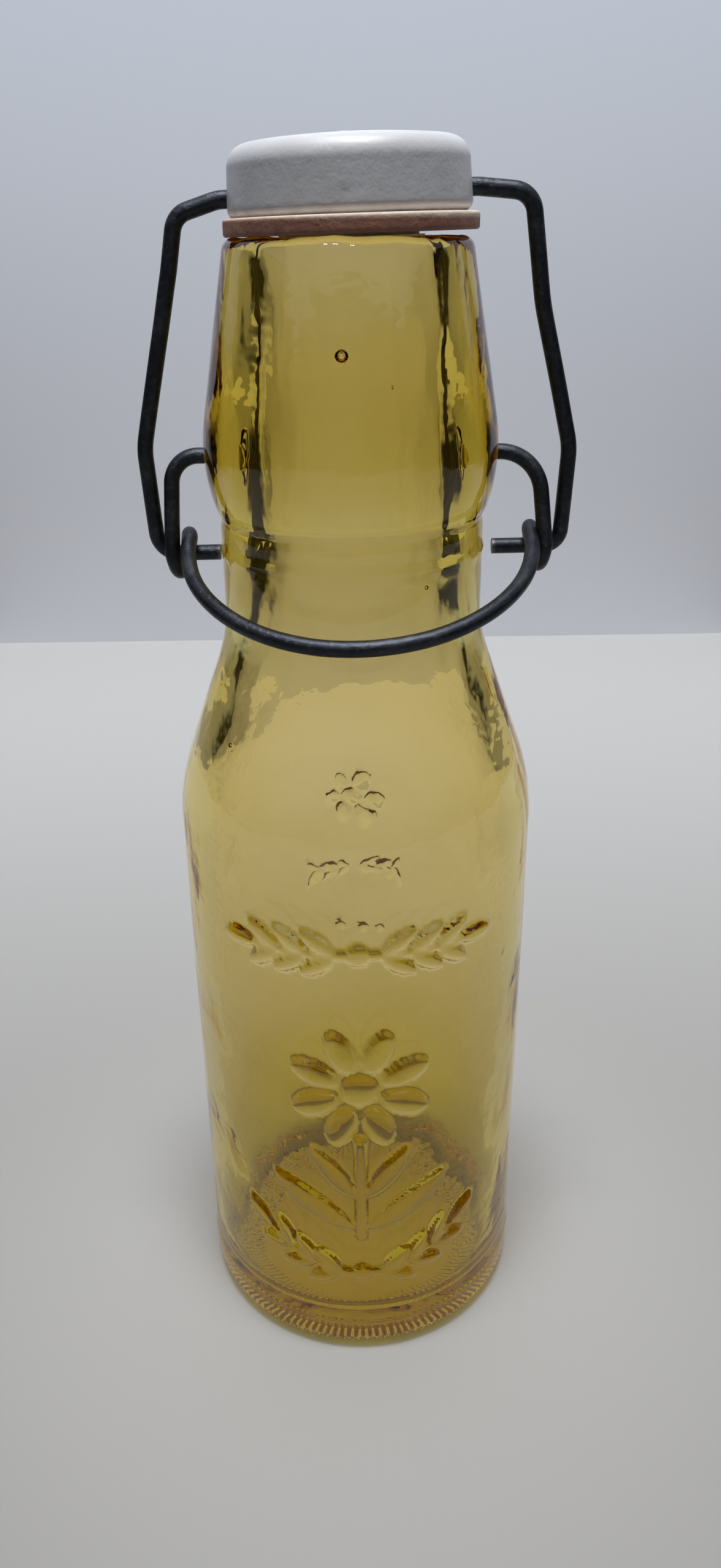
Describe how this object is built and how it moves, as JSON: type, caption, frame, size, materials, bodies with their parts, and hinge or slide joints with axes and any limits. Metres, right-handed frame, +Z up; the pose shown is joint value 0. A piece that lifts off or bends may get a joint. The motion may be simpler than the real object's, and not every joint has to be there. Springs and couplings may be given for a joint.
{
  "type": "swing top bottle",
  "caption": "Amber glass bottle with a tapered collar, closed by a white stopper and rubber gasket on a wire bail that a hinged wire lever pulls tight.",
  "frame": {"origin": "centre of the ring that the bottle stands on, at floor level", "axes": "+Z up along the bottle, -Y towards the lever's handle, X along the lever's pivots"},
  "size_m": [0.067, 0.06, 0.2022],
  "materials": {
    "amber_glass": "clear pressed glass, slightly wavy",
    "white_stopper": "satin white, moulded",
    "gasket_rubber": "matt tan rubber",
    "steel_wire": "dark drawn wire, dull"
  },
  "bodies": {
    "bottle": {"glass_bottle": "amber_glass"},
    "lever": {"lever_wire": "steel_wire"},
    "bail": {"bail_wire": "steel_wire"},
    "stopper": {"stopper_cap": "white_stopper", "sealing_gasket": "gasket_rubber"}
  },
  "joints": [
    {"name": "lever_swing", "type": "hinge", "parent": "bottle", "child": "lever", "pos_m": [0, 0, 0.1598], "axis": [-1, 0, 0], "range_deg": [0, 95]},
    {"name": "bail_swing", "type": "hinge", "parent": "lever", "child": "bail", "pos_m": [0, 0, 0.1451], "axis": [-1, 0, 0], "range_deg": [-67.1, 0]},
    {"name": "stopper_tilt", "type": "hinge", "parent": "bail", "child": "stopper", "pos_m": [0, 0, 0.1951], "axis": [-1, 0, 0], "range_deg": [-28, 0]}
  ],
  "couplings": [
    {"joint": "bail_swing", "follows": "lever_swing", "ratio": -0.706},
    {"joint": "stopper_tilt", "follows": "lever_swing", "ratio": -0.294}
  ]
}
